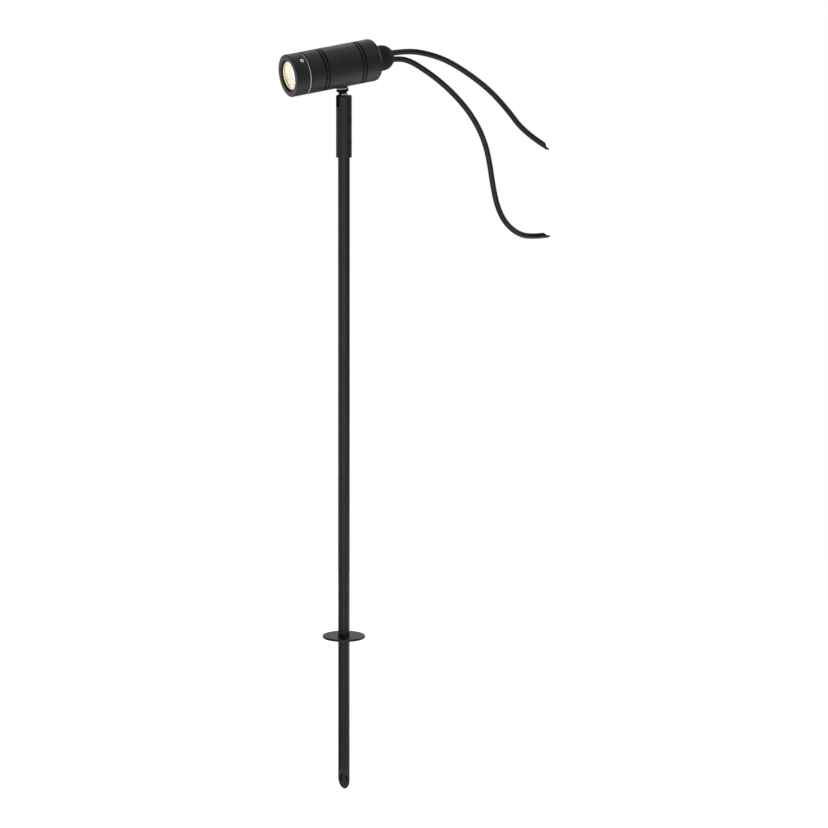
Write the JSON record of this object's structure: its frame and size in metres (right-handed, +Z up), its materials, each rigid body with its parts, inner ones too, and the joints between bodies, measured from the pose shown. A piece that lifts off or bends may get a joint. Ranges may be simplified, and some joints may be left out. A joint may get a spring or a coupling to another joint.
{
  "type": "garden spike spotlight",
  "caption": "Round spotlight head that tilts and swivels on a slotted sleeve, on a thin sectioned pole with a ground disc and a hollow spike; cables leave at the rear.",
  "frame": {"origin": "on the pole's axis at ground level, which is the underside of the ground disc and the top of the spike", "axes": "+Z up along the pole, -X the way the lamp shines, +X the way the cables leave"},
  "size_m": [0.3091, 0.044, 0.7788],
  "materials": {
    "black_powder_coat": "fine satin black powder coat on steel tube",
    "black_coated_aluminium": "fine satin black powder coat on turned aluminium",
    "bare_aluminium": "turned, not coated",
    "black_oxide_steel": "blackened screw steel",
    "plated_brass": "pale plated metal, painted black on its front",
    "grey_nylon": "plain moulded washer",
    "grey_silicone": "light grey silicone rubber",
    "coated_reflector": "faceted pressed glass with a bright inner coating",
    "clear_glass": "clear polished glass",
    "white_ceramic": "unglazed steatite ceramic",
    "stainless_steel": "bright stainless steel",
    "core_insulation": "dark flexible insulation",
    "white_plastic": "moulded connector plastic",
    "terminal_brass": "bare brass screws",
    "black_rubber": "matt black cable rubber",
    "black_nylon": "matt black moulded nylon"
  },
  "bodies": {
    "stake": {"ground_disc": "black_powder_coat", "spike_tube": "black_powder_coat", "pole_lower": "black_powder_coat", "pole_middle": "black_powder_coat", "pole_upper": "black_powder_coat", "pole_joiners": "bare_aluminium", "pole_sleeve": "black_coated_aluminium", "sleeve_set_screws": "black_oxide_steel", "tilt_pin": "black_oxide_steel"},
    "knuckle": {"pivot_knuckle": "plated_brass", "lock_ring": "black_coated_aluminium", "pivot_washer": "grey_nylon"},
    "head": {"head_body": "black_coated_aluminium", "bezel_gasket": "grey_silicone", "lamp_reflector": "coated_reflector", "lamp_cover_glass": "clear_glass", "lamp_capsule": "clear_glass", "lamp_base": "white_ceramic", "lamp_pins": "stainless_steel", "lamp_holder": "white_ceramic", "holder_plate": "stainless_steel", "holder_plate_screws": "stainless_steel", "lamp_leads": "core_insulation", "terminal_block": "white_plastic", "terminal_screws": "terminal_brass", "cable_cores": "core_insulation", "gland_seal": "black_rubber", "gland_body": "black_nylon", "gland_nut": "black_nylon", "gland_insert": "black_rubber", "cable_entries": "black_rubber", "upper_cable": "black_rubber", "lower_cable": "black_rubber", "upper_cable_end": "black_rubber", "lower_cable_end": "black_rubber"},
    "bezel": {"bezel_ring": "black_coated_aluminium", "bezel_grub_screws": "stainless_steel", "front_seal": "grey_silicone", "front_glass": "clear_glass", "rear_seal": "grey_silicone"}
  },
  "joints": [
    {"name": "head_tilt", "type": "hinge", "parent": "stake", "child": "knuckle", "pos_m": [0, 0, 0.553], "axis": [0, -1, 0], "range_deg": [-7, 83]},
    {"name": "head_swivel", "type": "hinge", "parent": "knuckle", "child": "head", "pos_m": [0, 0, 0.553], "axis": [-0.1219, 0, 0.9925], "range_deg": [-170, 170]},
    {"name": "bezel_pull", "type": "slide", "parent": "head", "child": "bezel", "axis": [-0.9925, 0, -0.1219], "range_m": [0, 0.03]}
  ]
}
